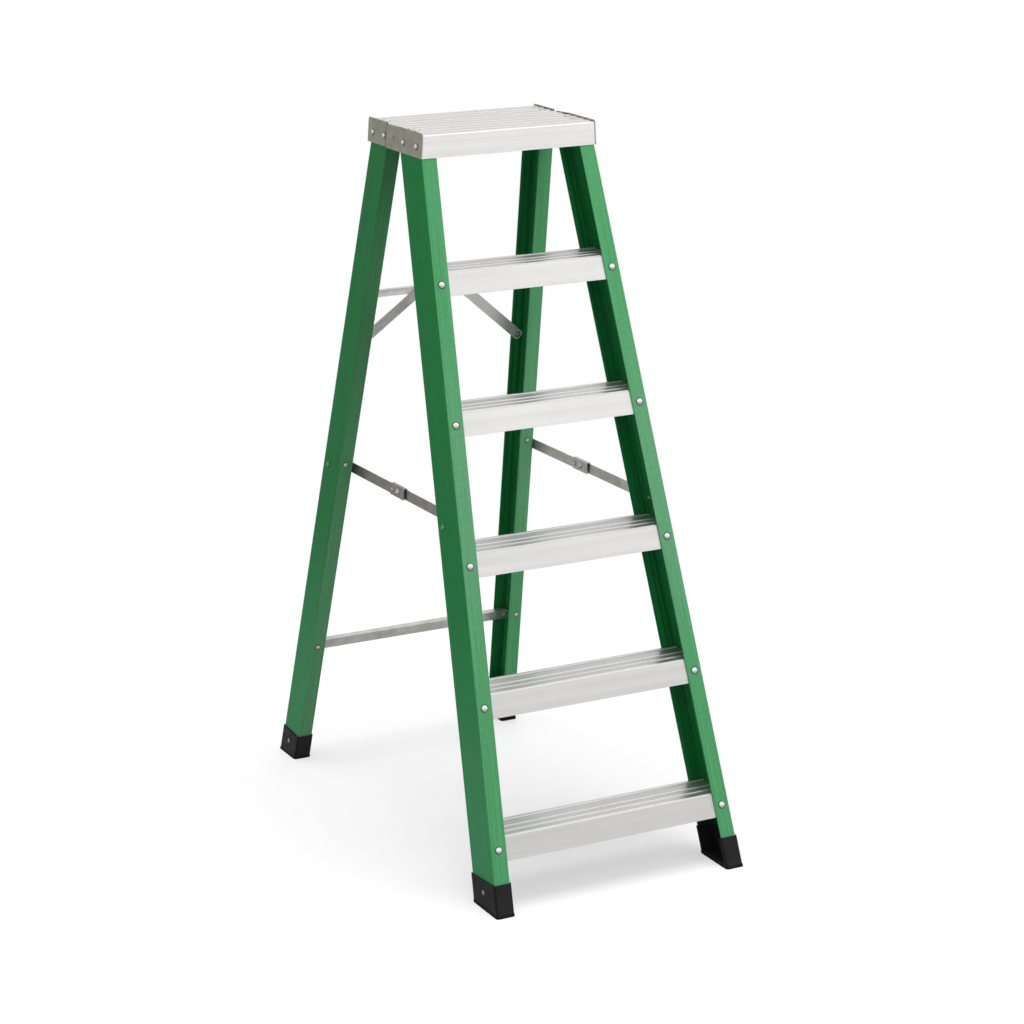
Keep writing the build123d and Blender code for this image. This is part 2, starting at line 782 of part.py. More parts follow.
# Boots: rubber shoes that line the rail's channel, open towards the ladder's middle, on a welted sole
def build_boot(x_at, y_at, up, depth, flange, rivet, high_y, tilt):
    wide = flange + 2 * boot_wall
    deep = depth + 2 * boot_wall
    floor_corner = (x_at(0), y_at(0), 0)
    pocket_corner = (x_at(boot_sole), y_at(boot_sole), boot_sole)
    core_inset = rail_wall + boot_fit
    cavity_inset = core_inset + boot_liner
    with BuildPart() as boot:
        with BuildSketch(Plane(floor_corner)):
            with Locations((boot_wall, -boot_wall)):
                RectangleRounded(wide, deep, boot_corner, align=(Align.MAX, Align.MIN))
        extrude_up(up, boot_height)
        with BuildSketch(Plane(floor_corner)):
            with Locations((boot_wall + boot_welt, -boot_wall - boot_welt)):
                RectangleRounded(
                    wide + 2 * boot_welt,
                    deep + 2 * boot_welt,
                    boot_corner + boot_welt,
                    align=(Align.MAX, Align.MIN),
                )
        extrude_up(up, boot_welt_height)
        with BuildSketch(Plane(pocket_corner)):
            with Locations((boot_fit, -boot_fit)):
                Rectangle(
                    flange + 2 * boot_fit, depth + 2 * boot_fit, align=(Align.MAX, Align.MIN)
                )
            with Locations((-core_inset, core_inset)):
                RectangleRounded(
                    2 * flange,
                    depth - 2 * core_inset,
                    boot_liner_corner,
                    align=(Align.MAX, Align.MIN),
                    mode=Mode.SUBTRACT,
                )
        extrude_up(up, boot_height, mode=Mode.SUBTRACT)
        with BuildSketch(Plane(pocket_corner)):
            with Locations((-cavity_inset, cavity_inset)):
                Rectangle(2 * flange, depth - 2 * cavity_inset, align=(Align.MAX, Align.MIN))
        extrude_up(up, boot_height, mode=Mode.SUBTRACT)
        top = Plane((x_at(boot_height), high_y, boot_height), z_dir=(0, tilt, 1))
        split(bisect_by=top, keep=Keep.BOTTOM)
        with BuildSketch(Plane((x_at(0) - flange / 2, y_at(0) + depth / 2, 0))):
            with GridLocations(1, deep / boot_groove_count, 1, boot_groove_count):
                Rectangle(2 * wide, boot_groove_width)
        extrude(amount=boot_groove_depth, mode=Mode.SUBTRACT)
        drill([rivet], rivet_radius + rivet_fit, 4 * boot_wall)
    return boot.part


boot_fall = tan(radians(boot_tilt))
front_boot = build_boot(
    front_x,
    front_y,
    front_up,
    front_rail_depth,
    front_rail_flange,
    front_boot_rivet,
    front_y(boot_height) - boot_wall,
    boot_fall,
)
save_pair(front_boot, "front_boot")
rear_boot = build_boot(
    rear_x,
    rear_y,
    rear_up,
    rear_rail_depth,
    rear_rail_flange,
    rear_boot_rivet,
    rear_y(boot_height) + rear_rail_depth + boot_wall,
    -boot_fall,
)
save_pair(rear_boot, "rear_boot")

boot_grip = boot_wall + rail_wall + boot_fit + boot_liner
for place, name in ((front_boot_rivet, "front"), (rear_boot_rivet, "rear")):
    with BuildPart() as boot_rivets:
        set_rivets([place.offset(boot_wall)], boot_grip)
    save_group(boot_rivets.part, f"{name}_boot_rivets")


# Spreaders: the rear link carries a folded saddle whose roof stops the front link when open
def link_plane(x, start, end):
    """Plane of a flat link between two pivots, with its local x along the link."""
    middle = (start + end) * 0.5
    along = end - start
    return Plane((x, middle.Y, middle.Z), x_dir=(0, along.Y, along.Z), z_dir=(1, 0, 0))


saddle_stack = 2 * saddle_wall + 2 * link_wall + 3 * link_gap
rear_link_offset = saddle_wall + link_gap
front_link_offset = rear_link_offset + link_wall + link_gap
saddle_forward = (mid_pivot - rear_pivot).normalized()
saddle_rivet_point = mid_pivot - saddle_forward * saddle_rivet_back
saddle_roof = link_width / 2 + saddle_roof_gap
right_face = front_x(front_pivot_z) + bevel_washer - front_link_offset



def save_spreader(piece, name, side_name):
    """Write a piece drawn in the upright layout, leaning it over on the left."""
    if side_name == "left":
        piece = piece.rotate(Axis(front_pivot + (left_face, 0, 0), left_lean.direction), splay_angle)
    save(piece, f"spreader_{name}_{side_name}")


for name, face in (("left", left_face), ("right", right_face)):
    with BuildPart() as front_link:
        with BuildSketch(link_plane(face + front_link_offset, front_pivot, mid_pivot)):
            SlotCenterToCenter(front_length, link_width)
            with GridLocations(front_length, 1, 2, 1):
                Circle(pivot_radius + pin_fit, mode=Mode.SUBTRACT)
        extrude(amount=link_wall)
    save_spreader(front_link.part, "front_link", name)

    with BuildPart() as rear_link:
        with BuildSketch(link_plane(face + rear_link_offset, mid_pivot, rear_pivot)):
            SlotCenterToCenter(rear_length, link_width)
            with GridLocations(rear_length, 1, 2, 1):
                Circle(pivot_radius + pin_fit, mode=Mode.SUBTRACT)
            with Locations((saddle_rivet_back - rear_length / 2, 0)):
                Circle(rivet_radius + rivet_fit, mode=Mode.SUBTRACT)
        extrude(amount=link_wall)
    save_spreader(rear_link.part, "rear_link", name)

    with BuildPart() as saddle:
        start = mid_pivot - saddle_forward * saddle_behind
        back_end = (face + saddle_stack / 2, start.Y, start.Z)
        with BuildSketch(Plane(back_end, x_dir=(1, 0, 0), z_dir=saddle_forward)):
            with Locations((0, saddle_roof + saddle_wall)):
                Rectangle(
                    saddle_stack,
                    saddle_roof + saddle_wall + saddle_skirt,
                    align=(Align.CENTER, Align.MAX),
                )
            with Locations((0, saddle_roof)):
                Rectangle(
                    saddle_stack - 2 * saddle_wall,
                    saddle_roof + 2 * saddle_skirt,
                    align=(Align.CENTER, Align.MAX),
                    mode=Mode.SUBTRACT,
                )
        extrude(amount=saddle_ahead + saddle_behind)
        drill([across(face, mid_pivot)], pivot_radius + pin_fit, 2 * saddle_stack)
        drill([across(face, saddle_rivet_point)], rivet_radius + rivet_fit, 2 * saddle_wall)
    save_spreader(saddle.part, "saddle", name)

    with BuildPart() as joint_pins:
        set_pin(
            face,
            face + saddle_stack,
            mid_pivot,
            pivot_radius,
            pivot_head_radius,
            pivot_head_height,
        )
        set_pin(
            face,
            face + rear_link_offset + link_wall,
            saddle_rivet_point,
            rivet_radius,
            small_head_radius,
            small_head_height,
            end_head=False,
        )
    save_spreader(joint_pins.part, "joint_pins", name)

    with BuildPart() as stud:
        set_pin(
            face + rear_link_offset,
            face + rear_link_offset + link_wall,
            rear_pivot,
            pivot_radius,
            pivot_head_radius,
            pivot_head_height,
            start_head=False,
        )
    save_spreader(stud.part, "stud", name)

    # The pivots stand on the webs' right-hand faces, over a spacer cut to the web
    front_web = front_x(front_pivot_z) if name == "right" else rail_wall - front_x(front_pivot_z)
    rear_web = rear_x(rear_pivot_z) if name == "right" else rail_wall - rear_x(rear_pivot_z)
    front_end = face + front_link_offset - link_gap
    rear_gap = open_pivot_gap if name == "right" else leaning_pivot_gap
    rear_end = face + rear_link_offset - rear_gap
    for place, point, web, end in (
        ("front", front_pivot, front_web, front_end),
        ("rear", rear_pivot, rear_web, rear_end),
    ):
        # On the left the web leans with the spreader, so the cut is square there
        reach = left_point(point).X - left_face if name == "left" else 0
        slant = 0 if name == "left" else splay
        cut = Plane((web - reach, point.Y, point.Z), x_dir=(0, 1, 0), z_dir=(1, 0, slant))
        with BuildPart() as spacer:
            with Locations(across(web - reach - rail_wall, point)):
                Cylinder(spacer_radius, end - web + reach + rail_wall, align=OUTWARD)
            split(bisect_by=cut.offset(seat), keep=Keep.TOP)
            drill([across(end, point)], pivot_radius + rivet_fit, 2 * front_half_width)
        save_spreader(spacer.part, f"{place}_spacer", name)

        with BuildPart() as pivot:
            set_pin(
                web - reach - rail_wall - head_lift,
                end if place == "rear" else end + link_wall + 2 * link_gap,
                point,
                pivot_radius,
                pivot_head_radius,
                pivot_head_height,
                end_head=place == "front",
            )
        save_spreader(pivot.part, f"{place}_pivot", name)
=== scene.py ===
import bmesh
import bpy
import json
from math import radians
from mathutils import Matrix, Vector

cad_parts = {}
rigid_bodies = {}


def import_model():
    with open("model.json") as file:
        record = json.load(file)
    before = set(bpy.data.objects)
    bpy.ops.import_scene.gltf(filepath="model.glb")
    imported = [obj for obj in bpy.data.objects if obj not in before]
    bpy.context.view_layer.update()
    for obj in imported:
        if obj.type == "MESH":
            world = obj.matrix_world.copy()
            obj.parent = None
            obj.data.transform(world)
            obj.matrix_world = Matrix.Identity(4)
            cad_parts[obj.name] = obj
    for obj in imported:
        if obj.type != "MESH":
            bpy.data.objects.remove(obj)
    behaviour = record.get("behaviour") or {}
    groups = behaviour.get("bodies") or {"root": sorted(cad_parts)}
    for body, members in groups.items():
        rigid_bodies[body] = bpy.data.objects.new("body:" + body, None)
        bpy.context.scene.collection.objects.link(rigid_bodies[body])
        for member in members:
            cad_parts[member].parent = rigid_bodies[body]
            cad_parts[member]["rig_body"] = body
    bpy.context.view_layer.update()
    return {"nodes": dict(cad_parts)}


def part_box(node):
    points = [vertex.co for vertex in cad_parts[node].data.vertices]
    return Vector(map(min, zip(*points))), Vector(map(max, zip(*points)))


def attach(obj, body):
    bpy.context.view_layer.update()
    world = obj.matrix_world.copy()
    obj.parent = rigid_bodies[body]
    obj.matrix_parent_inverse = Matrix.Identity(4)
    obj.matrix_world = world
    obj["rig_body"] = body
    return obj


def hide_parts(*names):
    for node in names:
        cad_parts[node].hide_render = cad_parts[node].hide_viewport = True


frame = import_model()
nodes = frame["nodes"]
SIDES = ("left", "right")


# Side rails: four pultruded channels of green glass-fibre resin, the web outside and the flanges inwards.
# Lengthwise strands show through a fine mottled veil. The channels are darker inside with painted shade,
# most at the foot, and streaked with painted reflection and shade. The flanges carry a painted sheen that
# makes them paler than the webs, most at half height, the rear left flange a painted shadow, and the webs
# painted floor light near the foot. Cut level and drilled for the rivets.
def connect(tree, kind, sockets=None, **settings):
    """Add a node: settings are its properties, sockets take constants or other nodes' outputs."""
    made = tree.nodes.new(kind)
    for name, value in settings.items():
        setattr(made, name, value)
    for name, value in (sockets or {}).items():
        if isinstance(value, bpy.types.NodeSocket):
            tree.links.new(value, made.inputs[name])
        else:
            made.inputs[name].default_value = value
    return made


def new_finish(name, roughness, metallic=0.0, specular=0.5):
    """A material with a Principled shader, and the place of each point on its piece."""
    finish = bpy.data.materials.new(name)
    finish.use_nodes = True
    tree = finish.node_tree
    shader = tree.nodes["Principled BSDF"]
    shader.inputs["Roughness"].default_value = roughness
    shader.inputs["Metallic"].default_value = metallic
    shader.inputs["Specular IOR Level"].default_value = specular
    place = connect(tree, "ShaderNodeTexCoord").outputs["Object"]
    return finish, tree, shader, place


def math(tree, operation, *values):
    """A Math node's result; values are numbers or outputs."""
    sockets = dict(enumerate(values))
    return connect(tree, "ShaderNodeMath", sockets, operation=operation).outputs[0]


def stretched(tree, place, scale):
    """The place multiplied on each axis, so that a pattern runs long one way and fine another."""
    sockets = {"Vector": place, "Scale": scale}
    return connect(tree, "ShaderNodeMapping", sockets).outputs["Vector"]


def noise(tree, place, scale=1.0, detail=2.0, rough=0.5):
    """A cloudy pattern from 0 to 1; scale is in waves for each metre."""
    sockets = {"Vector": place, "Scale": scale, "Detail": detail, "Roughness": rough}
    return connect(tree, "ShaderNodeTexNoise", sockets).outputs[0]


def weighed(tree, *parts):
    """Patterns added up, each with its share."""
    total = 0.0
    for pattern, share in parts:
        total = math(tree, "MULTIPLY_ADD", pattern, share, total)
    return total


def spread(tree, value, low, high, to_low=0.0, to_high=1.0):
    """Take a value from one range to another, smoothly and without passing the ends."""
    sockets = {"Value": value, 1: low, 2: high, 3: to_low, 4: to_high}
    settings = {"interpolation_type": "SMOOTHSTEP"}
    return connect(tree, "ShaderNodeMapRange", sockets, **settings).outputs[0]


def blend(tree, share, first, second):
    """Mix two colours, each four numbers or an output."""
    sockets = {0: share, 6: first, 7: second}
    return connect(tree, "ShaderNodeMix", sockets, data_type="RGBA").outputs[2]


def scaled(tree, vector, number):
    """A colour or a direction multiplied by a number."""
    sockets = {0: vector, "Scale": number}
    return connect(tree, "ShaderNodeVectorMath", sockets, operation="SCALE").outputs[0]


def bump(tree, shader, height, strength, distance):
    """Let a pattern raise the surface; distance is in metres."""
    sockets = {"Height": height, "Strength": strength, "Distance": distance}
    made = connect(tree, "ShaderNodeBump", sockets)
    tree.links.new(made.outputs[0], shader.inputs["Normal"])


def dot(tree, place, direction):
    """How far a vector reaches along a direction."""
    sockets = {0: place, 1: direction}
    return connect(tree, "ShaderNodeVectorMath", sockets, operation="DOT_PRODUCT").outputs["Value"]


RAIL_WALL = 0.004
RAIL_DEPTHS = {"front": 0.111, "rear": 0.0875}
RAIL_FLANGES = {"front": 0.039, "rear": 0.037}
RAIL_ROUGHNESS = 0.6
RAIL_GLOSS = 0.12
CORNER_BLEND = 0.0015
SKIN_DEPTHS = (-0.0012, -0.0002)
# Besides the webs' own greens, these colours paint light and shade: paler webs at the foot from floor light,
# a darker channel inside, paler flanges with a sheen, and a shadow on the rear left flange.
GREEN_WEBS = {"front": (0.010, 0.222, 0.053, 1), "rear": (0.019, 0.210, 0.060, 1)}
GREEN_WEB_FOOT_PAINTED_LIGHT = (0.066, 0.330, 0.138, 1)
GREEN_INSIDE_PAINTED_SHADE = (0.011, 0.172, 0.045, 1)
GREEN_INSIDE_FOOT_PAINTED_SHADE = (0.004, 0.045, 0.013, 1)
GREEN_FLANGE_PAINTED_SHEEN = (0.070, 0.286, 0.116, 1)
GREEN_PAINTED_SHADOW_FLANGE = (0.038, 0.150, 0.060, 1)
GREEN_PAINTED_SHADOW_FLANGE_FOOT = (0.078, 0.235, 0.112, 1)
GREEN_PAINTED_SHEEN_MIDWAY = (0.120, 0.300, 0.165, 1)
SHEEN_HEIGHT = 0.86
SHEEN_REACH = (0.05, 0.5)
SHEEN_SHARE = 0.6
PAINTED_SHADOW_HEIGHTS = (0.3, 1.5)
FOOT_LIGHT_HEIGHTS = (0.1, 0.75)
FOOT_LIGHT_SHARE = 0.8
INSIDE_SHADE_HEIGHTS = (0.075, 0.15)
STRAND_SCALE = (420, 420, 2.5)
VEIL_SCALE = (170, 170, 110)
SPECKLE_SCALE = 900.0
VEIL_SHARE = 0.3
STRAND_SHARE = 0.55
SPECKLE_SHARE = 0.15
MOTTLE_RANGE = (0.32, 0.68)
MOTTLE_TONES = (0.80, 1.20)
STREAK_SCALE = (230, 230, 1.6)
STREAK_RANGE = (0.3, 0.7)
STREAK_TONES = (0.72, 1.36)
RAIL_BUMP = (0.15, 0.0002)


def fibreglass(end, side):
    """Green resin whose strands follow one rail, with a painted sheen on its flanges and painted shade
    inside its channel.
    """
    low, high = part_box(f"{end}_rail_{side}")
    hand = 1 if side == "right" else -1
    leaning = 1 if end == "front" else -1
    rise = high.z - low.z
    lean = leaning * (high.y - low.y - RAIL_DEPTHS[end]) / rise
    splay = (high.x - low.x - RAIL_FLANGES[end]) / rise
    foot_y = low.y if end == "front" else high.y - RAIL_DEPTHS[end]
    foot_x = high.x if side == "right" else -low.x

    finish, tree, shader, place = new_finish(f"fibreglass_{end}_{side}", RAIL_ROUGHNESS, specular=RAIL_GLOSS)
    across = math(tree, "SUBTRACT", dot(tree, place, (0, 1, -lean)), foot_y - lean * low.z)
    inwards = math(tree, "ADD", dot(tree, place, (-hand, 0, -splay)), foot_x + splay * low.z)
    along = dot(tree, place, (0, 0, 1))
    sockets = {"X": across, "Y": inwards, "Z": along}
    rail_place = connect(tree, "ShaderNodeCombineXYZ", sockets).outputs[0]

    to_edge = math(tree, "MINIMUM", across, math(tree, "SUBTRACT", RAIL_DEPTHS[end], across))
    past_corner = math(tree, "SUBTRACT", inwards, to_edge)
    on_flange = spread(tree, past_corner, -CORNER_BLEND, CORNER_BLEND)
    # The rear left flange gets a painted shadow instead of the sheen, lightened near the foot by painted
    # floor light.
    if end == "rear" and side == "left":
        high_up = spread(tree, along, *PAINTED_SHADOW_HEIGHTS)
        flange = blend(tree, high_up, GREEN_PAINTED_SHADOW_FLANGE_FOOT, GREEN_PAINTED_SHADOW_FLANGE)
    else:
        # Painted sheen: the flange is paler than the web, most at half height.
        from_sheen = math(tree, "ABSOLUTE", math(tree, "SUBTRACT", along, SHEEN_HEIGHT))
        sheen_share = spread(tree, from_sheen, *SHEEN_REACH, SHEEN_SHARE, 0.0)
        flange = blend(tree, sheen_share, GREEN_FLANGE_PAINTED_SHEEN, GREEN_PAINTED_SHEEN_MIDWAY)
    # Painted floor light: the web is paler near the foot.
    low_down = spread(tree, along, *FOOT_LIGHT_HEIGHTS, FOOT_LIGHT_SHARE, 0.0)
    web = blend(tree, low_down, GREEN_WEBS[end], GREEN_WEB_FOOT_PAINTED_LIGHT)
    colour = blend(tree, on_flange, web, flange)
    # Painted shade: the channel's inside is darker, and darker still at the foot.
    depth_inside = math(tree, "SUBTRACT", math(tree, "MINIMUM", to_edge, inwards), RAIL_WALL)
    inside = spread(tree, depth_inside, *SKIN_DEPTHS)
    channel = blend(tree, spread(tree, along, *INSIDE_SHADE_HEIGHTS), GREEN_INSIDE_FOOT_PAINTED_SHADE, GREEN_INSIDE_PAINTED_SHADE)
    # Painted streaks of reflection and shade along the channel's inside.
    streaks = noise(tree, stretched(tree, rail_place, STREAK_SCALE))
    channel = scaled(tree, channel, spread(tree, streaks, *STREAK_RANGE, *STREAK_TONES))
    colour = blend(tree, inside, colour, channel)

    strands = noise(tree, stretched(tree, rail_place, STRAND_SCALE), rough=0.6)
    veil = noise(tree, stretched(tree, rail_place, VEIL_SCALE), detail=3.0, rough=0.6)
    speckle = noise(tree, rail_place, SPECKLE_SCALE)
    patterns = (veil, VEIL_SHARE), (strands, STRAND_SHARE), (speckle, SPECKLE_SHARE)
    mottle = weighed(tree, *patterns)
    tone = spread(tree, mottle, *MOTTLE_RANGE, *MOTTLE_TONES)
    colour = scaled(tree, colour, tone)
    tree.links.new(colour, shader.inputs["Base Color"])
    bump(tree, shader, mottle, *RAIL_BUMP)
    return finish


def paint(node, finish):
    """Give a CAD node's own mesh a finish."""
    mesh = nodes[node].data
    mesh.materials.clear()
    mesh.materials.append(finish)


for end in ("front", "rear"):
    for side in SIDES:
        paint(f"{end}_rail_{side}", fibreglass(end, side))


# Treads: five ribbed aluminium extrusions with a deep front skirt and a lip, pushed between the front
# rails' flanges. Mill finish, with the die's lines running along each tread and softly broken edges.
# Painted highlights lie on the ribs and the nose and painted shade in the grooves, the skirts are painted
# darker low down, and each tread has its own painted shade.
WELD = 1e-6
SHARP = radians(30)
CORNER_NEAR = 0.001
CORNER_STEPS = 5
FLAT = radians(0.4)


def add_piece(name, data):
    """An object at the origin, in the scene."""
    piece = bpy.data.objects.new(name, data)
    bpy.context.scene.collection.objects.link(piece)
    return piece


def plain_mesh(piece):
    """Turn what the modifiers make into the piece's own mesh."""
    depsgraph = bpy.context.evaluated_depsgraph_get()
    depsgraph.update()
    finished = bpy.data.meshes.new_from_object(piece.evaluated_get(depsgraph))
    piece.modifiers.clear()
    piece.data = finished


def stand_for(piece, node, finish):
    """Let a finished piece ride where its CAD node does and show in its place."""
    piece.data.materials.clear()
    piece.data.materials.append(finish)
    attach(piece, nodes[node]["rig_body"])
    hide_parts(node)


def soften(node, finish, edge, segments=2, corner=None):
    """A copy of a CAD node, welded, with its sharp edges broken by a small radius.

    A corner is the radius of the piece's upper back corner.
    """
    mesh = nodes[node].data.copy()
    work = bmesh.new()
    work.from_mesh(mesh)
    bmesh.ops.remove_doubles(work, verts=work.verts, dist=WELD)
    bmesh.ops.dissolve_limit(work, angle_limit=FLAT, verts=work.verts, edges=work.edges)
    if corner:
        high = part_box(node)[1]
        near = {
            vert
            for vert in work.verts
            if high.y - vert.co.y < CORNER_NEAR and high.z - vert.co.z < CORNER_NEAR
        }
        ends = [line for line in work.edges if near.issuperset(line.verts)]
        rounded = {"offset": corner, "segments": CORNER_STEPS, "profile": 0.5}
        bmesh.ops.bevel(work, geom=ends, affect="EDGES", **rounded)
    for face in work.faces:
        face.smooth = True
    work.to_mesh(mesh)
    work.free()
    mesh.attributes.remove(mesh.attributes["custom_normal"])
    piece = add_piece(f"{node}_finished", mesh)
    rounding = piece.modifiers.new("rounding", "BEVEL")
    rounding.width = edge
    rounding.segments = segments
    rounding.angle_limit = SHARP
    rounding.use_clamp_overlap = False
    rounding.harden_normals = True
    plain_mesh(piece)
    stand_for(piece, node, finish)


ALUMINIUM = (0.702, 0.697, 0.686, 1)
ALUMINIUM_DULL = (0.632, 0.627, 0.617, 1)
SKIRT_SHADE_HEIGHTS = (0.2, 0.9)
SKIRT_SHADE_TONES = (0.89, 1.13)
RIB_HEIGHT = 0.0015
SKIRT_METALLIC = 0.5
TOP_METALLIC = 0.82
TOP_POLISH = 0.13
NOSE_FACING = (0, -0.581, 0.814)
NOSE_PAINTED_HIGHLIGHT = 1.36
DIE_LINES = (1.5, 900, 900)
DIE_BANDS = (0.8, 60, 60)
WORN_CLOUDS = (9, 14, 14)
LINE_SHARE = 0.45
BAND_SHARE = 0.35
CLOUD_SHARE = 0.2
LINE_RANGE = (0.35, 0.65)
LINE_BUMP = (0.18, 0.00012)
SKIRT_FACING = (0.3, 0.7)
TOP_FACING = (0.6, 0.9)
NOSE_REACH = (0.88, 0.95)
RIB_SIDES = (0.1, 0.35)
RIB_FEET = (0.75, 0.95)
SKIRT_START = (1.5, 3.0)
BRUSHED_RANGE = (0.3, 0.7)
BRUSHED_ROUGHER = 0.08
BRUSHED_SMOOTHER = 0.06


def mill_aluminium(name, light, dull, roughness, rib_top, tones):
    """Bright aluminium with the extrusion's lines along X, its skirts painted darker low down and lighter
    high up.

    The tones, painted highlight and shade, are those of the ribs' tops, their sides and the grooves; the
    nose carries a painted highlight.
    """
    finish, tree, shader, place = new_finish(name, roughness)
    lines = noise(tree, stretched(tree, place, DIE_LINES), detail=3.0, rough=0.65)
    bands = noise(tree, stretched(tree, place, DIE_BANDS))
    clouds = noise(tree, stretched(tree, place, WORN_CLOUDS), detail=3.0)
    share = weighed(tree, (lines, LINE_SHARE), (bands, BAND_SHARE), (clouds, CLOUD_SHARE))
    colour = blend(tree, spread(tree, share, *LINE_RANGE), dull, light)
    facing = connect(tree, "ShaderNodeTexCoord").outputs["Normal"]
    forwards = spread(tree, dot(tree, facing, (0, -1, 0)), *SKIRT_FACING)
    height = dot(tree, place, (0, 0, 1))
    # Painted shade and light: the skirts are darker low down and lighter high up.
    lower_skirt_shade = spread(tree, height, *SKIRT_SHADE_HEIGHTS, *SKIRT_SHADE_TONES)
    below = math(tree, "DIVIDE", math(tree, "SUBTRACT", rib_top, height), RIB_HEIGHT)
    # Painted highlight on the ribs' tops and sides, painted shade in the grooves.
    top_tone, side_tone, groove_tone = tones
    ribs = spread(tree, below, *RIB_SIDES, top_tone, side_tone)
    grooves = spread(tree, below, *RIB_FEET)
    level = math(tree, "MULTIPLY_ADD", grooves, math(tree, "SUBTRACT", groove_tone, ribs), ribs)
    on_skirt = math(tree, "MULTIPLY", forwards, spread(tree, below, *SKIRT_START))
    tone = math(tree, "MULTIPLY_ADD", on_skirt, math(tree, "SUBTRACT", lower_skirt_shade, level), level)
    # Painted highlight along the nose.
    nose = spread(tree, dot(tree, facing, NOSE_FACING), *NOSE_REACH)
    tone = math(tree, "MULTIPLY_ADD", nose, math(tree, "SUBTRACT", NOSE_PAINTED_HIGHLIGHT, tone), tone)
    tree.links.new(scaled(tree, colour, tone), shader.inputs["Base Color"])
    polished = spread(tree, dot(tree, facing, (0, 0, 1)), *TOP_FACING)
    metal = math(tree, "MULTIPLY_ADD", polished, TOP_METALLIC - SKIRT_METALLIC, SKIRT_METALLIC)
    tree.links.new(metal, shader.inputs["Metallic"])
    ends = (roughness + BRUSHED_ROUGHER, roughness - BRUSHED_SMOOTHER)
    brushed = spread(tree, share, *BRUSHED_RANGE, *ends)
    matt = math(tree, "MULTIPLY_ADD", polished, -TOP_POLISH, brushed)
    tree.links.new(matt, shader.inputs["Roughness"])
    bump(tree, shader, lines, *LINE_BUMP)
    return finish


TREAD_EDGE = 0.0005
TREAD_ROUGHNESS = 0.46
# Painted light on the treads' ribs: tops and sides lighter, grooves darker.
TREAD_RIB_PAINTED_LIGHT = (1.28, 1.28, 0.83)
# Each tread's own painted shade, darkest on the top tread.
TREAD_SHADES = (1.0, 0.985, 0.965, 0.99, 0.925)
for number, shade in enumerate(TREAD_SHADES, 1):
    rib_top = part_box(f"tread_{number}")[1].z
    colours = [
        tuple(value * shade for value in colour[:3]) + (1,)
        for colour in (ALUMINIUM, ALUMINIUM_DULL)
    ]
    name = f"tread_aluminium_{number}"
    tread_finish = mill_aluminium(name, *colours, TREAD_ROUGHNESS, rib_top, TREAD_RIB_PAINTED_LIGHT)
    soften(f"tread_{number}", tread_finish, TREAD_EDGE)

# Platform: one wide ribbed extrusion with front and back skirts, the ladder's top step.
# The same mill-finish aluminium as the treads, with a large nose radius. Its ribs carry painted highlights
# on their tops and painted shade on their sides.
DECK_EDGE = 0.0006
DECK_ROUGHNESS = 0.48
DECK_RIB_PAINTED_LIGHT = (1.22, 0.62, 1.0)
DECK_LIGHT = (0.75, 0.74, 0.725, 1)
DECK_DULL = (0.68, 0.67, 0.655, 1)
DECK_COLOURS = (DECK_LIGHT, DECK_DULL)
rib_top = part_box("platform")[1].z
name = "platform_aluminium"
deck_finish = mill_aluminium(name, *DECK_COLOURS, DECK_ROUGHNESS, rib_top, DECK_RIB_PAINTED_LIGHT)
soften("platform", deck_finish, DECK_EDGE)

# Platform brackets and stops: short angles inside the front rails' tops, and flat pads under the
# platform that rest on the rear rails. Sheared from dull aluminium sheet.
PLATE_GREY = (0.375, 0.365, 0.295, 1)
PLATE_DARK = (0.275, 0.268, 0.220, 1)
PLATE_EDGE = 0.0005
PLATE_ROUGHNESS = 0.5
PLATE_METALLIC = 0.55
PLATE_GLOSS = 0.4
PLATE_CLOUDS = 34.0
PLATE_GRAIN = (900, 60, 900)
PLATE_CLOUD_SHARE = 0.65
PLATE_GRAIN_SHARE = 0.35
PLATE_RANGE = (0.36, 0.64)
PLATE_BUMP = (0.15, 0.0002)
HANDLED_RANGE = (0.3, 0.7)
HANDLED_SMOOTHER = 0.08
HANDLED_ROUGHER = 0.1
LAP_PAINTED_SHADOW = (0.060, 0.060, 0.052, 1)
LAP_SHADOW_NEAR = 0.0030
LAP_SHADOW_FAR = 0.0044


def dull_plate(name, lap=None):
    """Grey sheet with a rolled grain and cloudy handling marks, and a painted shadow where a plate laps it.
    """
    finish, tree, shader, place = new_finish(name, PLATE_ROUGHNESS, PLATE_METALLIC, PLATE_GLOSS)
    clouds = noise(tree, place, PLATE_CLOUDS, detail=4.0, rough=0.6)
    grain = noise(tree, stretched(tree, place, PLATE_GRAIN), detail=3.0, rough=0.6)
    share = weighed(tree, (clouds, PLATE_CLOUD_SHARE), (grain, PLATE_GRAIN_SHARE))
    colour = blend(tree, spread(tree, share, *PLATE_RANGE), PLATE_DARK, PLATE_GREY)
    # Painted shadow in a narrow band on each side of the lap line.
    if lap is not None:
        behind = math(tree, "SUBTRACT", dot(tree, place, (0, 1, 0)), lap)
        from_lap = math(tree, "ABSOLUTE", behind)
        colour = blend(tree, spread(tree, from_lap, LAP_SHADOW_NEAR, LAP_SHADOW_FAR), LAP_PAINTED_SHADOW, colour)
    tree.links.new(colour, shader.inputs["Base Color"])
    ends = (PLATE_ROUGHNESS - HANDLED_SMOOTHER, PLATE_ROUGHNESS + HANDLED_ROUGHER)
    handled = spread(tree, clouds, *HANDLED_RANGE, *ends)
    tree.links.new(handled, shader.inputs["Roughness"])
    bump(tree, shader, grain, *PLATE_BUMP)
    return finish


plate_finish = dull_plate("plate_aluminium")
for side in SIDES:
    soften(f"platform_bracket_{side}", plate_finish, PLATE_EDGE)
    soften(f"platform_stop_{side}", plate_finish, PLATE_EDGE)

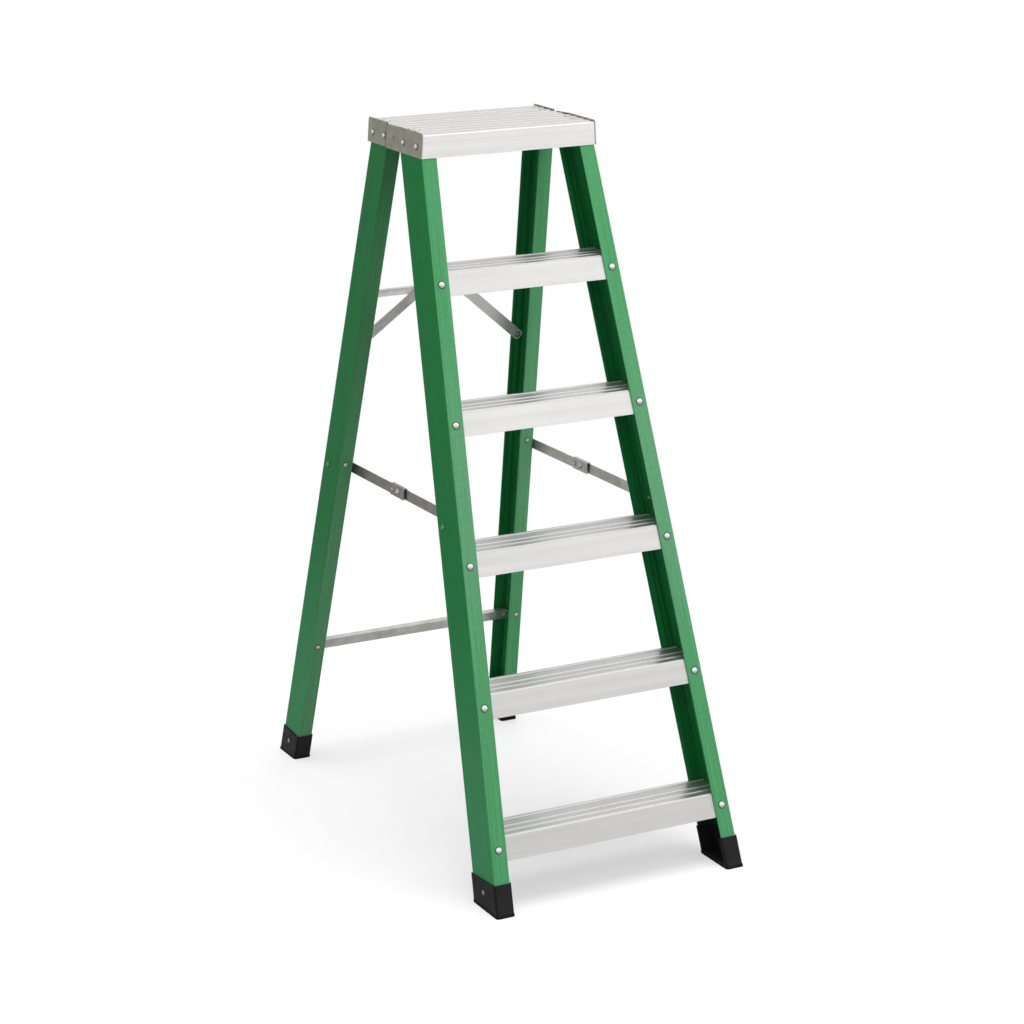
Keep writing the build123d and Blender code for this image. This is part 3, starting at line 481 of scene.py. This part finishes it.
# End plates: a front plate riveted over each front rail's top, and behind it a hinge plate riveted
# to the rear rail. The two lap and turn on one pin, with a painted shadow in the line between them. Stamped
# from grey sheet, edges rolled over and the hinge plate's back corner rounded.
PLATE_CORNER = 0.007
lap_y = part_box("front_end_plate_right")[1].y
hinge_finish = dull_plate("hinge_plate_aluminium", lap_y)
for side in SIDES:
    soften(f"front_end_plate_{side}", hinge_finish, PLATE_EDGE)
    soften(f"rear_hinge_plate_{side}", hinge_finish, PLATE_EDGE, corner=PLATE_CORNER)

# Rear frame's cross bars, knee braces and corner clips: folded and sheared zinc-plated strip,
# riveted inside the rear rails. The braces carry the upper bar's load down to the rails. The upper bar,
# the lower bar and the right brace take lighter copies of the zinc than the left brace and the clips:
# painted light.
ZINC_LIGHT = (0.56, 0.555, 0.525, 1)
ZINC_DARK = (0.42, 0.415, 0.390, 1)
ZINC_BRIGHT = (0.84, 0.835, 0.82, 1)
ZINC_BRIGHT_DARK = (0.72, 0.715, 0.70, 1)
BAR_ZINC = (0.68, 0.67, 0.635, 1)
BAR_ZINC_DARK = (0.52, 0.512, 0.482, 1)
BRACE_ZINC = (0.68, 0.67, 0.65, 1)
BRACE_ZINC_DARK = (0.585, 0.577, 0.56, 1)
STRIP_EDGE = 0.0005
STRIP_ROUGHNESS = 0.42
ZINC_METALLIC = 0.85
BRIGHT_METALLIC = 0.4
SPANGLE_SCALE = 260.0
SPANGLE_THIRDS = (0.33, 0.33, 0.33)
ZINC_CLOUDS = 26.0
ZINC_CLOUD_SHARE = 0.75
SPANGLE_SHARE = 0.25
ZINC_RANGE = (0.34, 0.66)
ZINC_BUMP = (0.1, 0.0003)
SPANGLE_RANGE = (0.2, 0.8)
SPANGLE_SMOOTHER = 0.06
SPANGLE_ROUGHER = 0.08


def zinc_plate(name, light, dark, roughness=STRIP_ROUGHNESS, metallic=ZINC_METALLIC):
    """Zinc-plated steel: a fine crystal spangle under cloudy grey."""
    finish, tree, shader, place = new_finish(name, roughness, metallic)
    sockets = {"Vector": place, "Scale": SPANGLE_SCALE}
    spangle = connect(tree, "ShaderNodeTexVoronoi", sockets).outputs["Color"]
    crystals = dot(tree, spangle, SPANGLE_THIRDS)
    clouds = noise(tree, place, ZINC_CLOUDS, detail=4.0, rough=0.6)
    share = weighed(tree, (clouds, ZINC_CLOUD_SHARE), (crystals, SPANGLE_SHARE))
    colour = blend(tree, spread(tree, share, *ZINC_RANGE), dark, light)
    tree.links.new(colour, shader.inputs["Base Color"])
    ends = (roughness - SPANGLE_SMOOTHER, roughness + SPANGLE_ROUGHER)
    etched = spread(tree, crystals, *SPANGLE_RANGE, *ends)
    tree.links.new(etched, shader.inputs["Roughness"])
    bump(tree, shader, clouds, *ZINC_BUMP)
    return finish


# Painted light: lighter copies of the same zinc for the upper bar, the lower bar and the right brace.
bright = {"metallic": BRIGHT_METALLIC}
zinc_finish = zinc_plate("zinc_steel", ZINC_LIGHT, ZINC_DARK)
upper_bar_painted_light_finish = zinc_plate("upper_bar_zinc_painted_light", ZINC_BRIGHT, ZINC_BRIGHT_DARK, **bright)
lower_bar_painted_light_finish = zinc_plate("lower_bar_zinc_painted_light", BAR_ZINC, BAR_ZINC_DARK)
right_brace_painted_light_finish = zinc_plate("right_brace_zinc_painted_light", BRACE_ZINC, BRACE_ZINC_DARK, **bright)
soften("upper_bar", upper_bar_painted_light_finish, STRIP_EDGE)
soften("lower_bar", lower_bar_painted_light_finish, STRIP_EDGE)
for side in SIDES:
    soften(f"knee_brace_{side}", right_brace_painted_light_finish if side == "right" else zinc_finish, STRIP_EDGE)
    soften(f"rail_clips_{side}", zinc_finish, STRIP_EDGE)

# Rivets: solid aluminium rivets with a domed head outside and an upset tail inside, one group for each
# row of like joints. Each is set where its hole is, with its shank as long as the walls it holds. A thin
# dark disc round each head is a painted shadow, and the head's rim is painted dark with it; the dome is
# painted light on its upper half and shaded below.
RIVET_METAL = (0.80, 0.80, 0.79, 1)
RIVET_SHADE = (0.50, 0.50, 0.48, 1)
RIVET_SHADOW_RING = (0.035, 0.040, 0.034, 1)
RIVET_DULL = (0.58, 0.59, 0.56, 1)
BOOT_RIVET_METAL = (0.30, 0.30, 0.29, 1)
BIG_HEAD = (0.008, 0.003)
PLATE_HEAD = (0.0068, 0.003)
SMALL_HEAD = (0.006, 0.0024)
FLAT_HEAD = (0.006, 0.0012)
RIVET_RIM = 0.0005
SHADOW_RING_WIDTH = 0.0015
SHADOW_RING_THICK = 0.00015
RIVET_SHANK = 0.0026
RIVET_TAIL = 0.0044
RIVET_UPSET = 0.0016
HEAD_SIDES = 24
HEAD_RINGS = 8
SHANK_SIDES = 16
RIVET_ROUGHNESS = 0.4
RIVET_METALLIC = 0.6
RIVET_MARKS = 700.0
MARK_SHARE = 0.1
UPPER_HALF = (-0.14, 0.10)
SHADOW_RING_START = (0.8, 0.98)
ALIKE = 0.999


def rivet_places(node):
    """Seat, facing and grip of each rivet in a group, read from its loose solids."""
    work = bmesh.new()
    work.from_mesh(nodes[node].data)
    bmesh.ops.remove_doubles(work, verts=work.verts, dist=WELD)
    met = set()
    places = []
    for start in work.verts:
        if start in met:
            continue
        met.add(start)
        solid = [start]
        for vert in solid:
            near = [edge.other_vert(vert) for edge in vert.link_edges]
            fresh = [other for other in near if other not in met]
            met.update(fresh)
            solid += fresh
        faces = list(dict.fromkeys(face for vert in solid for face in vert.link_faces))
        areas = {}
        for face in faces:
            key = tuple(round(value, 2) for value in face.normal)
            areas[key] = areas.get(key, Vector()) + face.normal * face.calc_area()
        facing = -max(areas.values(), key=lambda area: area.length).normalized()
        under = [face for face in faces if face.normal.dot(facing) < -ALIKE]
        over = [face for face in faces if face.normal.dot(facing) > ALIKE]
        seat_height = max(face.calc_center_median().dot(facing) for face in under)
        tail_height = min(face.calc_center_median().dot(facing) for face in over)
        middle = sum((vert.co for vert in solid), Vector()) / len(solid)
        seat = middle + facing * (seat_height - middle.dot(facing))
        places.append((seat, facing, seat_height - tail_height))
    work.free()
    return sorted(places, key=lambda place: tuple(place[0]))


def rivet_tree():
    """Geometry Nodes that set a domed head in a thin dark disc of painted shadow, a shank and a tail on each
    point.
    """
    tree = bpy.data.node_groups.new("rivets", "GeometryNodeTree")
    face = tree.interface
    face.new_socket("Geometry", in_out="INPUT", socket_type="NodeSocketGeometry")
    for name in ("Head Radius", "Crown", "Rim", "Shadow Ring", "Shank Radius", "Tail Radius", "Upset"):
        face.new_socket(name, in_out="INPUT", socket_type="NodeSocketFloat")
    face.new_socket("Finish", in_out="INPUT", socket_type="NodeSocketMaterial")
    face.new_socket("Geometry", in_out="OUTPUT", socket_type="NodeSocketGeometry")
    given = tree.nodes.new("NodeGroupInput").outputs
    shown = tree.nodes.new("NodeGroupOutput")

    def stored(name, data_type):
        """What each point of the group carries under a name."""
        kind = "GeometryNodeInputNamedAttribute"
        return connect(tree, kind, {"Name": name}, data_type=data_type).outputs[0]

    def turned_to(vector):
        """The turn that points Z along a vector."""
        kind = "FunctionNodeAlignRotationToVector"
        return connect(tree, kind, {"Vector": vector}, axis="Z").outputs[0]

    def edged(mesh, edge):
        """A mesh that remembers how near to the rim each point is."""
        sockets = {"Geometry": mesh, "Name": "edge", "Value": edge}
        return connect(tree, "GeometryNodeStoreNamedAttribute", sockets).outputs[0]

    def button(radius, rim, crown):
        """A closed disc whose top rings rise to a dome."""
        sockets = {"Vertices": HEAD_SIDES, "Fill Segments": HEAD_RINGS, "Radius": radius, "Depth": rim}
        disc = connect(tree, "GeometryNodeMeshCylinder", sockets).outputs["Mesh"]
        position = tree.nodes.new("GeometryNodeInputPosition").outputs[0]
        x, y, z = connect(tree, "ShaderNodeSeparateXYZ", {0: position}).outputs
        squares = math(tree, "ADD", math(tree, "POWER", x, 2.0), math(tree, "POWER", y, 2.0))
        fall = math(tree, "DIVIDE", squares, math(tree, "POWER", radius, 2.0))
        level = math(tree, "MAXIMUM", math(tree, "SUBTRACT", 1.0, fall), 0.0)
        rise = math(tree, "SUBTRACT", crown, rim)
        dome = math(tree, "MULTIPLY", rise, math(tree, "POWER", level, 0.5))
        on_top = math(tree, "GREATER_THAN", z, 0.0)
        half_rim = math(tree, "MULTIPLY", rim, 0.5)
        lift = math(tree, "ADD", math(tree, "MULTIPLY", dome, on_top), half_rim)
        offset = connect(tree, "ShaderNodeCombineXYZ", {"Z": lift}).outputs[0]
        sockets = {"Geometry": edged(disc, fall), "Offset": offset}
        return connect(tree, "GeometryNodeSetPosition", sockets).outputs[0]

    facing = stored("facing", "FLOAT_VECTOR")
    grip = stored("grip", "FLOAT")
    backwards = scaled(tree, facing, -1.0)
    behind = scaled(tree, backwards, grip)
    outwards = turned_to(facing)
    inwards = turned_to(backwards)

    head = button(given["Head Radius"], given["Rim"], given["Crown"])
    tail = button(given["Tail Radius"], given["Rim"], given["Upset"])
    # A thin dark disc round the head: a painted shadow.
    shadow_reach = math(tree, "ADD", given["Head Radius"], given["Shadow Ring"])
    sockets = {"Vertices": HEAD_SIDES, "Radius": shadow_reach, "Depth": 2 * SHADOW_RING_THICK}
    ring = edged(connect(tree, "GeometryNodeMeshCylinder", sockets).outputs["Mesh"], 1.0)
    sockets = {"Vertices": SHANK_SIDES, "Radius": given["Shank Radius"], "Depth": 1.0}
    rod = connect(tree, "GeometryNodeMeshCylinder", sockets).outputs["Mesh"]
    sockets = {"Geometry": rod, "Translation": (0, 0, 0.5)}
    rod = connect(tree, "GeometryNodeTransform", sockets).outputs[0]
    length = connect(tree, "ShaderNodeCombineXYZ", {"X": 1.0, "Y": 1.0, "Z": grip}).outputs[0]
    points = given["Geometry"]
    sockets = {"Geometry": points, "Offset": behind}
    tails = connect(tree, "GeometryNodeSetPosition", sockets).outputs[0]

    joined = tree.nodes.new("GeometryNodeJoinGeometry")
    for sockets in (
        {"Points": points, "Instance": head, "Rotation": outwards},
        {"Points": points, "Instance": ring, "Rotation": outwards},
        {"Points": points, "Instance": rod, "Rotation": inwards, "Scale": length},
        {"Points": tails, "Instance": tail, "Rotation": inwards},
    ):
        placed = connect(tree, "GeometryNodeInstanceOnPoints", sockets)
        tree.links.new(placed.outputs[0], joined.inputs[0])
    sockets = {"Geometry": joined.outputs[0]}
    real = connect(tree, "GeometryNodeRealizeInstances", sockets).outputs[0]
    sockets = {"Geometry": real, "Material": given["Finish"]}
    dressed = connect(tree, "GeometryNodeSetMaterial", sockets).outputs[0]
    tree.links.new(dressed, shown.inputs[0])
    return tree


def rivet_finish(name, bright):
    """Aluminium with a painted highlight on the dome's upper half, painted shade below and a painted shadow
    in the ring round it.
    """
    finish, tree, shader, place = new_finish(name, RIVET_ROUGHNESS, RIVET_METALLIC)
    facing = connect(tree, "ShaderNodeTexCoord").outputs["Normal"]
    marks = noise(tree, place, RIVET_MARKS, detail=3.0, rough=0.6)
    rivet_facing = connect(tree, "ShaderNodeAttribute", attribute_name="facing").outputs["Vector"]
    upwards = dot(tree, facing, (0, 0, 1))
    seat_upwards = dot(tree, rivet_facing, (0, 0, 1))
    # Painted highlight on the upper half of the dome, painted shade on the lower.
    upper = weighed(tree, (upwards, 1.0), (seat_upwards, -1.0), (marks, MARK_SHARE))
    shade = tuple(dark * light for dark, light in zip(RIVET_SHADE, bright))
    colour = blend(tree, spread(tree, upper, *UPPER_HALF), shade, bright)
    edge = connect(tree, "ShaderNodeAttribute", attribute_name="edge").outputs["Fac"]
    # Painted shadow at the head's rim and on the disc round it.
    colour = blend(tree, spread(tree, edge, *SHADOW_RING_START), colour, RIVET_SHADOW_RING)
    tree.links.new(colour, shader.inputs["Base Color"])
    return finish


set_rivets = rivet_tree()
rivet_metal = rivet_finish("rivet_metal", RIVET_METAL)
dull_rivet_metal = rivet_finish("dull_rivet_metal", RIVET_DULL)
boot_rivet_metal = rivet_finish("boot_rivet_metal", BOOT_RIVET_METAL)


def rivet_group(node, head, finish):
    """Domed rivets in place of one CAD group; head is its radius and height."""
    places = rivet_places(node)
    points = bpy.data.meshes.new(node)
    points.from_pydata([seat for seat, facing, grip in places], [], [])
    points.attributes.new("facing", "FLOAT_VECTOR", "POINT")
    points.attributes.new("grip", "FLOAT", "POINT")
    for index, (seat, facing, grip) in enumerate(places):
        points.attributes["facing"].data[index].vector = facing
        points.attributes["grip"].data[index].value = grip
    piece = add_piece(f"{node}_domed", points)
    setting = piece.modifiers.new("rivets", "NODES")
    setting.node_group = set_rivets
    sizes = {
        "Head Radius": head[0],
        "Crown": head[1],
        "Rim": RIVET_RIM,
        "Shadow Ring": SHADOW_RING_WIDTH,
        "Shank Radius": RIVET_SHANK,
        "Tail Radius": RIVET_TAIL,
        "Upset": RIVET_UPSET,
        "Finish": finish,
    }
    for socket in set_rivets.interface.items_tree:
        if socket.in_out == "INPUT" and socket.name in sizes:
            setting[socket.identifier] = sizes[socket.name]
    plain_mesh(piece)
    for polygon in piece.data.polygons:
        polygon.use_smooth = True
    piece.data.set_sharp_from_angle(angle=SHARP)
    stand_for(piece, node, finish)


for node in ("tread_front", "tread_back"):
    rivet_group(f"{node}_rivets", BIG_HEAD, rivet_metal)
for node in ("front_plate", "rear_plate"):
    rivet_group(f"{node}_rivets", PLATE_HEAD, rivet_metal)
for node in ("bar", "brace", "clip"):
    rivet_group(f"{node}_rivets", SMALL_HEAD, dull_rivet_metal)
for end in ("front", "rear"):
    rivet_group(f"{end}_boot_rivets", SMALL_HEAD, boot_rivet_metal)
rivet_group("platform_rivets", FLAT_HEAD, rivet_metal)

# Hinge pins: headed steel pins on which the rear frame swings, through the front end plates and the
# hinge plates' round ears.
HINGE_PIN_EDGE = 0.0007
PIN_STEPS = 3
for side in SIDES:
    soften(f"hinge_pin_{side}", plate_finish, HINGE_PIN_EDGE, PIN_STEPS)

# Boots: moulded black rubber shoes that wrap the rails' feet and line their channels, riveted through
# the web. A welt runs round the sole, the top edge slopes and the sole is grooved across.
RUBBER = (0.010, 0.010, 0.0105, 1)
RUBBER_SCUFFED = (0.030, 0.030, 0.031, 1)
RUBBER_PAINTED_SHADE = (0.002, 0.002, 0.002, 1)
RUBBER_ROUGHNESS = 0.6
RUBBER_GLOSS = 0.2
RUBBER_GRAIN = 1400.0
RUBBER_BUMP = (0.2, 0.0002)
RUBBER_MATT = (0.5, 0.7)
SCUFF_SCALE = (60, 60, 160)
SCUFF_HEIGHTS = (0.0, 0.05)
SCUFF_SHARES = (0.7, 0.15)
SCUFF_RANGE = (0.5, 0.75)
MATT_RANGE = (0.3, 0.7)
CORNER_SHADE_TURN = (0.12, 0.4)
WELT_SHADE_HEIGHTS = (0.005, 0.008)
WELT_SHADE_SHARE = 0.8


def moulded_rubber():
    """Black rubber with a fine moulded grain, scuffed near the floor, with painted shade along its corners
    and welt.
    """
    finish, tree, shader, place = new_finish("boot_rubber", RUBBER_ROUGHNESS, specular=RUBBER_GLOSS)
    grain = noise(tree, place, RUBBER_GRAIN)
    scuffs = noise(tree, stretched(tree, place, SCUFF_SCALE), detail=4.0, rough=0.65)
    height = dot(tree, place, (0, 0, 1))
    low_down = spread(tree, height, *SCUFF_HEIGHTS, *SCUFF_SHARES)
    share = math(tree, "MULTIPLY", spread(tree, scuffs, *SCUFF_RANGE), low_down)
    colour = blend(tree, share, RUBBER, RUBBER_SCUFFED)
    facing = connect(tree, "ShaderNodeTexCoord").outputs["Normal"]
    # Painted shade along the upright corners and the welt line.
    sideways = dot(tree, facing, (1, 0, 0))
    lengthways = dot(tree, facing, (0, 1, 0))
    turned = math(tree, "ABSOLUTE", math(tree, "MULTIPLY", sideways, lengthways))
    corner = spread(tree, turned, *CORNER_SHADE_TURN)
    welt = spread(tree, height, *WELT_SHADE_HEIGHTS, WELT_SHADE_SHARE, 0.0)
    dark = math(tree, "MAXIMUM", corner, welt)
    tree.links.new(blend(tree, dark, colour, RUBBER_PAINTED_SHADE), shader.inputs["Base Color"])
    matt = spread(tree, scuffs, *MATT_RANGE, *RUBBER_MATT)
    tree.links.new(matt, shader.inputs["Roughness"])
    bump(tree, shader, grain, *RUBBER_BUMP)
    return finish


rubber_finish = moulded_rubber()
for end in ("front", "rear"):
    for side in SIDES:
        paint(f"{end}_boot_{side}", rubber_finish)

# Spreaders: two flat steel links on each side that lock the ladder open. A folded saddle on the rear
# link covers the middle joint, headed pins hold the joints and tubes stand the eyes off the rails. The
# pivots' heads are as green as the rails.
LINK_EDGE = 0.0004
LINK_ROUGHNESS = 0.4
PIN_EDGE = 0.0011
PIVOT_STEEL = (0.10, 0.27, 0.14, 1)
# Painted shade: the left links take a darker copy of the steel than the right.
LINK_STEEL = {"left": (0.29, 0.282, 0.252, 1), "right": (0.52, 0.507, 0.470, 1)}
LINK_STEEL_DARK = {"left": (0.205, 0.198, 0.178, 1), "right": (0.38, 0.37, 0.342, 1)}
pivot_finish = rivet_finish("pivot_steel", PIVOT_STEEL)
for side in SIDES:
    colours = (LINK_STEEL[side], LINK_STEEL_DARK[side])
    link_finish = zinc_plate(f"spreader_steel_{side}", *colours, LINK_ROUGHNESS)
    for node in ("front_link", "rear_link", "saddle", "front_spacer", "rear_spacer"):
        soften(f"spreader_{node}_{side}", link_finish, LINK_EDGE)
    soften(f"spreader_joint_pins_{side}", dull_rivet_metal, PIN_EDGE, PIN_STEPS)
    for node in ("stud", "front_pivot", "rear_pivot"):
        soften(f"spreader_{node}_{side}", pivot_finish, PIN_EDGE, PIN_STEPS)

# Studio: a white floor that only glows further off, a white surround whose light comes mostly from above
# the front right, a broad light overhead and a nearer lamp in front of the platform. A second light from
# overhead reaches the floor alone and draws the ladder's soft shadow there.
FLOOR_HALF = 60.0
FLOOR_WHITE = 0.165
FLOOR_BOUNCE = 0.255
FLOOR_GLOW = 0.58
FLOOR_NEAR = 1.2
FLOOR_FAR = 2.6
SURROUND_LIGHT = 0.22
LIGHT_FROM = Vector((0.23, -0.72, 0.655))
LIGHT_LEVEL = 0.95
OVERHEAD_STRENGTH = 0.8
OVERHEAD_WIDTH = radians(60)
FLOOR_SUN_STRENGTH = 6.0
FLOOR_SUN_WIDTH = radians(42)
LAMP_POWER = 40.0
LAMP_SIZE = 1.6
LAMP_PLACE = Vector((0.9, -2.2, 3.0))
LAMP_AIM = Vector((0.0, -0.2, 1.0))

floor_mesh = bpy.data.meshes.new("floor")
corners = [(-1, -1), (1, -1), (1, 1), (-1, 1)]
floor_mesh.from_pydata([(x * FLOOR_HALF, y * FLOOR_HALF, 0) for x, y in corners], [], [(0, 1, 2, 3)])
floor = add_piece("floor", floor_mesh)
floor_finish, tree, floor_shader, place = new_finish("floor_white", 1.0, specular=0.0)
seen = connect(tree, "ShaderNodeLightPath").outputs["Is Camera Ray"]
away = connect(tree, "ShaderNodeVectorMath", {0: place}, operation="LENGTH").outputs["Value"]
white = spread(tree, away, FLOOR_NEAR, FLOOR_FAR, FLOOR_WHITE, 0.0)
glow = spread(tree, away, FLOOR_NEAR, FLOOR_FAR, FLOOR_GLOW, 1.0)
level = connect(tree, "ShaderNodeMix", {0: seen, 2: FLOOR_BOUNCE, 3: white}).outputs[0]
lit = connect(tree, "ShaderNodeCombineXYZ", {"X": level, "Y": level, "Z": level}).outputs[0]
tree.links.new(lit, floor_shader.inputs["Base Color"])
floor_shader.inputs["Emission Color"].default_value = (1, 1, 1, 1)
tree.links.new(math(tree, "MULTIPLY", seen, glow), floor_shader.inputs["Emission Strength"])
floor_mesh.materials.append(floor_finish)

world = bpy.data.worlds.new("white_surround")
bpy.context.scene.world = world
world.use_nodes = True
sky = world.node_tree
rays = connect(sky, "ShaderNodeLightPath").outputs
seen = math(sky, "MAXIMUM", rays["Is Camera Ray"], rays["Is Glossy Ray"])
seen = math(sky, "MAXIMUM", seen, rays["Is Transmission Ray"])
outwards = connect(sky, "ShaderNodeTexCoord").outputs["Generated"]
towards = math(sky, "MAXIMUM", dot(sky, outwards, LIGHT_FROM), 0.0)
gathered = math(sky, "MULTIPLY_ADD", math(sky, "POWER", towards, 2.0), LIGHT_LEVEL, SURROUND_LIGHT)
sockets = {0: seen, 2: gathered, 3: 1.0}
level = connect(sky, "ShaderNodeMix", sockets).outputs[0]
background = sky.nodes["Background"]
background.inputs["Color"].default_value = (1, 1, 1, 1)
sky.links.new(level, background.inputs["Strength"])


def add_light(name, kind, **settings):
    """A light that shows neither itself nor its reflection."""
    data = bpy.data.lights.new(name, kind)
    for setting, value in settings.items():
        setattr(data, setting, value)
    light = add_piece(name, data)
    light.visible_camera = False
    light.visible_glossy = False
    return light


add_light("overhead", "SUN", energy=OVERHEAD_STRENGTH, angle=OVERHEAD_WIDTH)
floor_sun = add_light("floor_sun", "SUN", energy=FLOOR_SUN_STRENGTH, angle=FLOOR_SUN_WIDTH)
floor_only = bpy.data.collections.new("floor_only")
floor_only.objects.link(floor)
floor_sun.light_linking.receiver_collection = floor_only
lamp = add_light("front_lamp", "AREA", energy=LAMP_POWER, size=LAMP_SIZE)
turned = (LAMP_AIM - LAMP_PLACE).to_track_quat("-Z", "Y")
lamp.matrix_world = Matrix.Translation(LAMP_PLACE) @ turned.to_matrix().to_4x4()

# Camera: a long lens in front of the ladder's left side, a little above the platform.
CAMERA_PLACE = Vector((-3.206, -6.0478, 2.7735))
CAMERA_TURN = radians(-28.175)
CAMERA_DOWN = radians(16.42)
CAMERA_ROLL = radians(0.16)
CAMERA_LENS = 104.08

camera_data = bpy.data.cameras.new("camera")
camera_data.lens = CAMERA_LENS
camera = add_piece("camera", camera_data)
aim = Matrix.Rotation(CAMERA_TURN, 4, "Z") @ Matrix.Rotation(radians(90) - CAMERA_DOWN, 4, "X")
camera.matrix_world = Matrix.Translation(CAMERA_PLACE) @ aim @ Matrix.Rotation(CAMERA_ROLL, 4, "Z")
bpy.context.scene.camera = camera
bpy.context.scene.view_settings.view_transform = "Standard"
